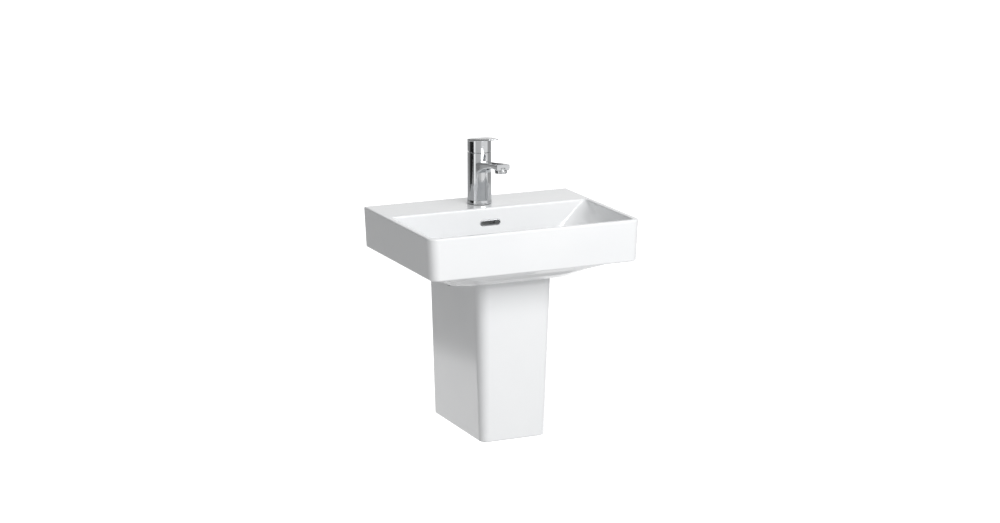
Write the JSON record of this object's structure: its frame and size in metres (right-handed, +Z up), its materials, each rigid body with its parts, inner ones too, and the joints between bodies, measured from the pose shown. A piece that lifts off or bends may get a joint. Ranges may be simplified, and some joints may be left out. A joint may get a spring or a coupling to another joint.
{
  "type": "wall-hung washbasin with siphon cover",
  "caption": "Small rectangular wall-hung ceramic washbasin with a ceramic siphon cover, chrome single-lever mixer, push-open waste, bottle trap, angle valves and hoses.",
  "frame": {"origin": "point on the flat back of the basin, on the wall plane, midway between the two wall bolts and 60 mm below the rim", "axes": "+Y into the wall that the basin hangs on, -Y towards the person in front, +Z up, +X to the right seen from the front"},
  "size_m": [0.4496, 0.34, 0.5912],
  "materials": {
    "ceramic": "white glazed sanitary ceramic, gloss",
    "chrome": "polished chrome plate on brass",
    "steel": "zinc-plated and stainless steel fasteners",
    "brass": "raw turned brass",
    "braided_steel": "stainless steel braid over a rubber hose",
    "rubber": "black sealing rubber",
    "white_plastic": "moulded white nylon",
    "grey_plastic": "moulded grey acetal",
    "index_enamel": "plain ring marker, no lettering"
  },
  "bodies": {
    "fixed": {"aerator_housing": "chrome", "aerator_insert": "grey_plastic", "angle_valve_left": "chrome", "angle_valve_right": "chrome", "basin": "ceramic", "cartridge": "grey_plastic", "cartridge_nut": "chrome", "clamp_gasket": "rubber", "clamp_plate": "steel", "click_cartridge": "white_plastic", "cover_screw_left": "steel", "cover_screw_right": "steel", "cover_washer_left": "white_plastic", "cover_washer_right": "white_plastic", "hose_fitting_left": "chrome", "hose_fitting_right": "chrome", "hose_nut_left": "chrome", "hose_nut_right": "chrome", "overflow_trim": "chrome", "siphon_cover": "ceramic", "supply_hose_left": "braided_steel", "supply_hose_right": "braided_steel", "tap_base_seal": "rubber", "tap_body": "chrome", "tap_stud": "steel", "tap_stud_nut": "brass", "temperature_index": "index_enamel", "trap_body": "chrome", "trap_cup": "chrome", "trap_inlet_nut": "chrome", "trap_inlet_tube": "chrome", "trap_neck_nut": "chrome", "trap_outlet_nut": "chrome", "trap_outlet_tube": "chrome", "trap_wall_flange": "chrome", "valve_rosette_left": "chrome", "valve_rosette_right": "chrome", "wall_bush_left": "white_plastic", "wall_bush_right": "white_plastic", "wall_nut_left": "steel", "wall_nut_right": "steel", "wall_stud_left": "steel", "wall_stud_right": "steel", "wall_washer_left": "steel", "wall_washer_right": "steel", "waste_backnut": "brass", "waste_body": "chrome", "waste_bottom_seal": "rubber", "waste_top_seal": "rubber"},
    "swivel": {"cartridge_driver": "white_plastic", "pivot_pin": "steel"},
    "lever_arm": {"lever": "chrome", "cartridge_spindle": "brass", "lever_set_screw": "steel", "set_screw_plug": "grey_plastic"},
    "plug": {"waste_plug": "chrome", "plug_seal": "rubber"},
    "knob_left": {"valve_knob_left": "chrome"},
    "knob_right": {"valve_knob_right": "chrome"}
  },
  "joints": [
    {"name": "lever_swivel", "type": "hinge", "parent": "fixed", "child": "swivel", "pos_m": [0, -0.065, 0.1445], "axis": [0, 0, 1], "range_deg": [-50, 50]},
    {"name": "lever_lift", "type": "hinge", "parent": "swivel", "child": "lever_arm", "pos_m": [0, -0.065, 0.1445], "axis": [-1, 0, 0], "range_deg": [0, 20]},
    {"name": "plug_slide", "type": "slide", "parent": "fixed", "child": "plug", "axis": [0, 0, 1], "range_m": [0, 0.007]},
    {"name": "knob_left_turn", "type": "hinge", "parent": "fixed", "child": "knob_left", "pos_m": [-0.04, -0.058, -0.19], "axis": [0, -1, 0], "range_deg": [0, 90]},
    {"name": "knob_right_turn", "type": "hinge", "parent": "fixed", "child": "knob_right", "pos_m": [0.04, -0.058, -0.19], "axis": [0, -1, 0], "range_deg": [0, 90]}
  ]
}
